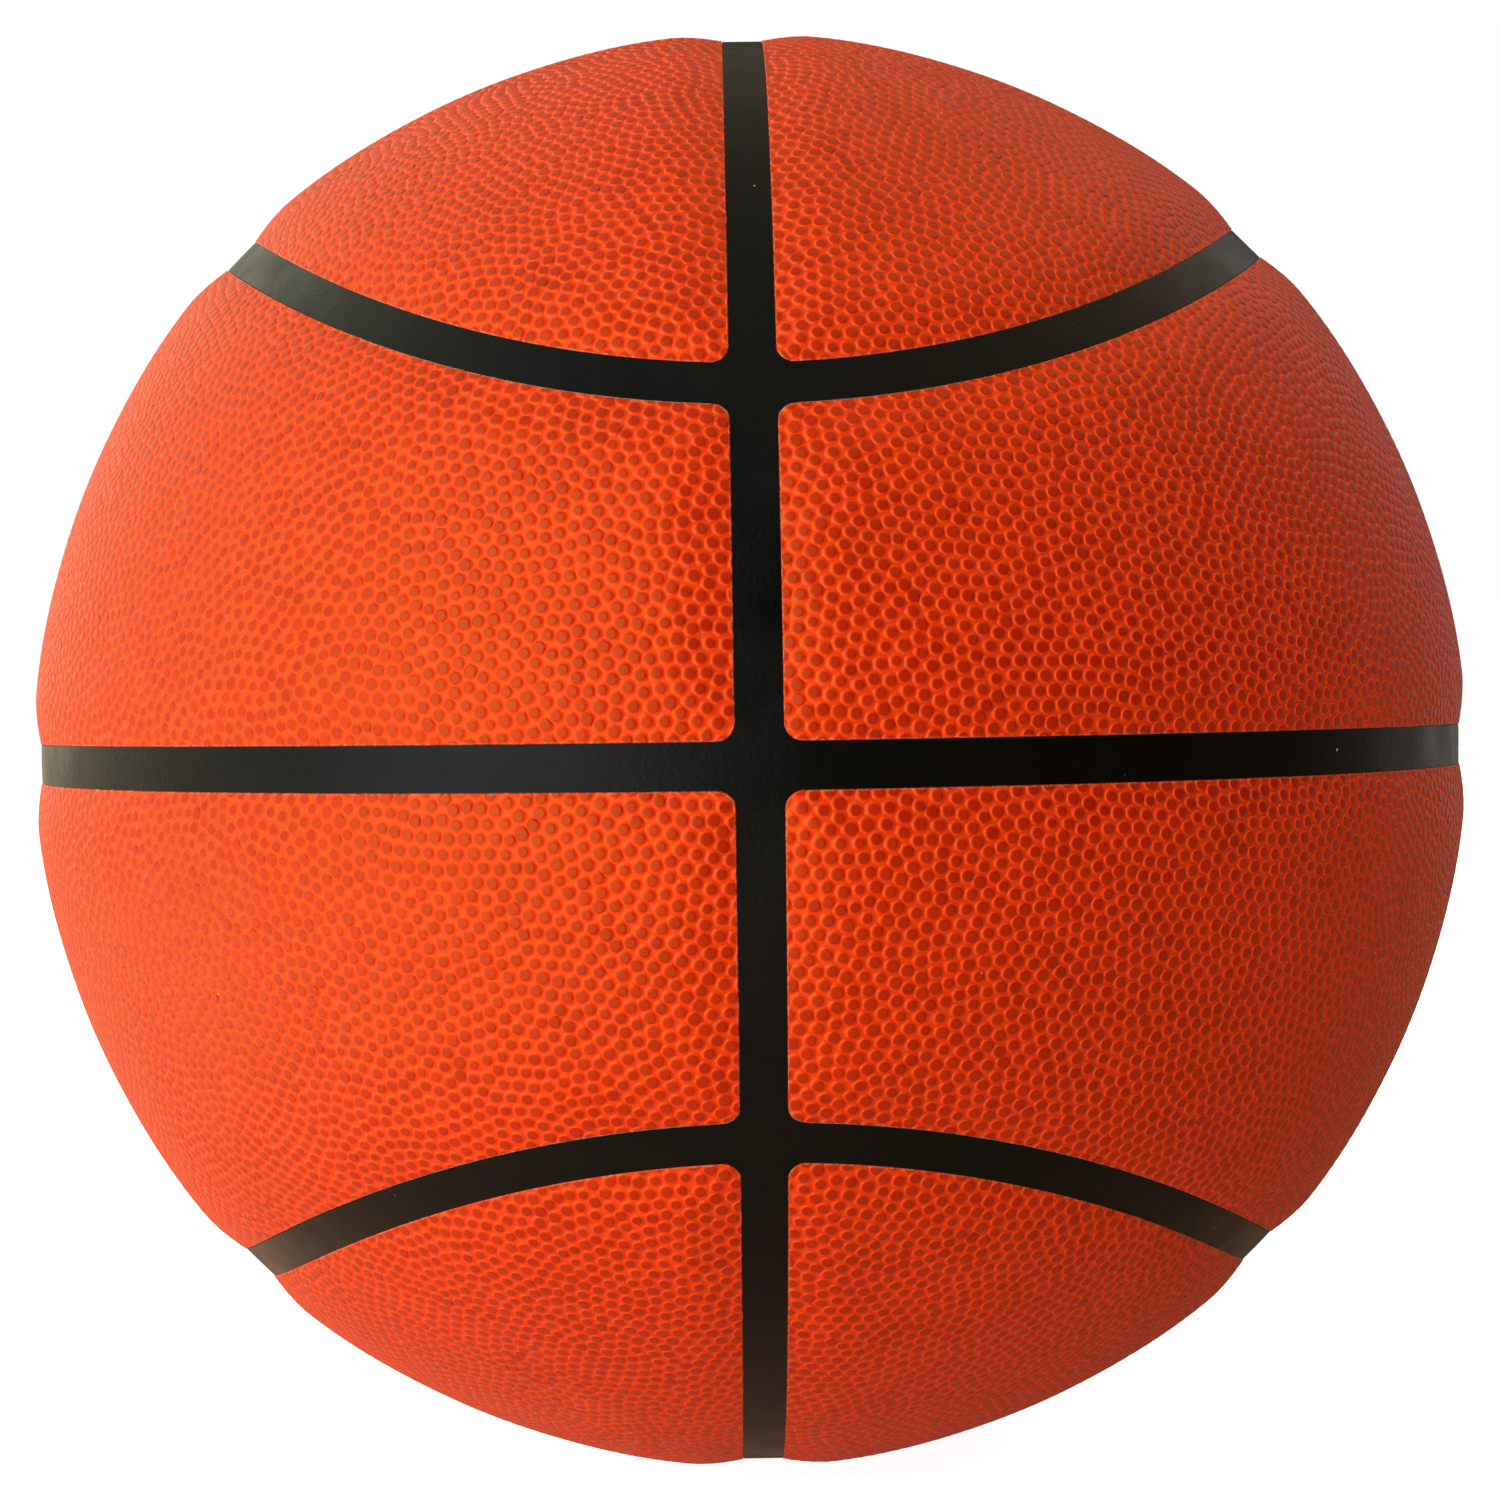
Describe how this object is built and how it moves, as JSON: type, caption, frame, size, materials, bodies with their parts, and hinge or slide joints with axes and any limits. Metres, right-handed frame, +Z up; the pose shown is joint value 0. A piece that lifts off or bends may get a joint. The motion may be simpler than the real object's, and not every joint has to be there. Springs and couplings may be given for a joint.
{
  "type": "basketball",
  "caption": "Inflatable ball with pebbled cover panels set between black rubber channels, over foam pads, a rubber carcass, wound thread and a bladder with a needle valve.",
  "frame": {"origin": "centre of the ball", "axes": "+Z up as the picture shows the ball, -Y towards the viewer through the crossing of the two straight channels, +X to the right"},
  "size_m": [0.2402, 0.24, 0.2402],
  "materials": {
    "cover": "pebbled composite leather, satin, with a slight tacky sheen",
    "foam": "closed-cell foam, matte",
    "carcass": "smooth moulded rubber, matte",
    "thread": "wound nylon thread",
    "bladder": "butyl rubber, satin",
    "valve": "soft moulded rubber, matte"
  },
  "bodies": {
    "root": {"bladder": "bladder", "valve_neck": "valve", "valve_plug": "valve", "winding": "thread", "carcass": "carcass", "pad_band_upper_left": "foam", "pad_band_upper_right": "foam", "pad_band_lower_left": "foam", "pad_band_lower_right": "foam", "pad_cap_top_left": "foam", "pad_cap_top_right": "foam", "pad_cap_bottom_left": "foam", "pad_cap_bottom_right": "foam", "cover_band_upper_left": "cover", "cover_band_upper_right": "cover", "cover_band_lower_left": "cover", "cover_band_lower_right": "cover", "cover_cap_top_left": "cover", "cover_cap_top_right": "cover", "cover_cap_bottom_left": "cover", "cover_cap_bottom_right": "cover"}
  },
  "joints": []
}
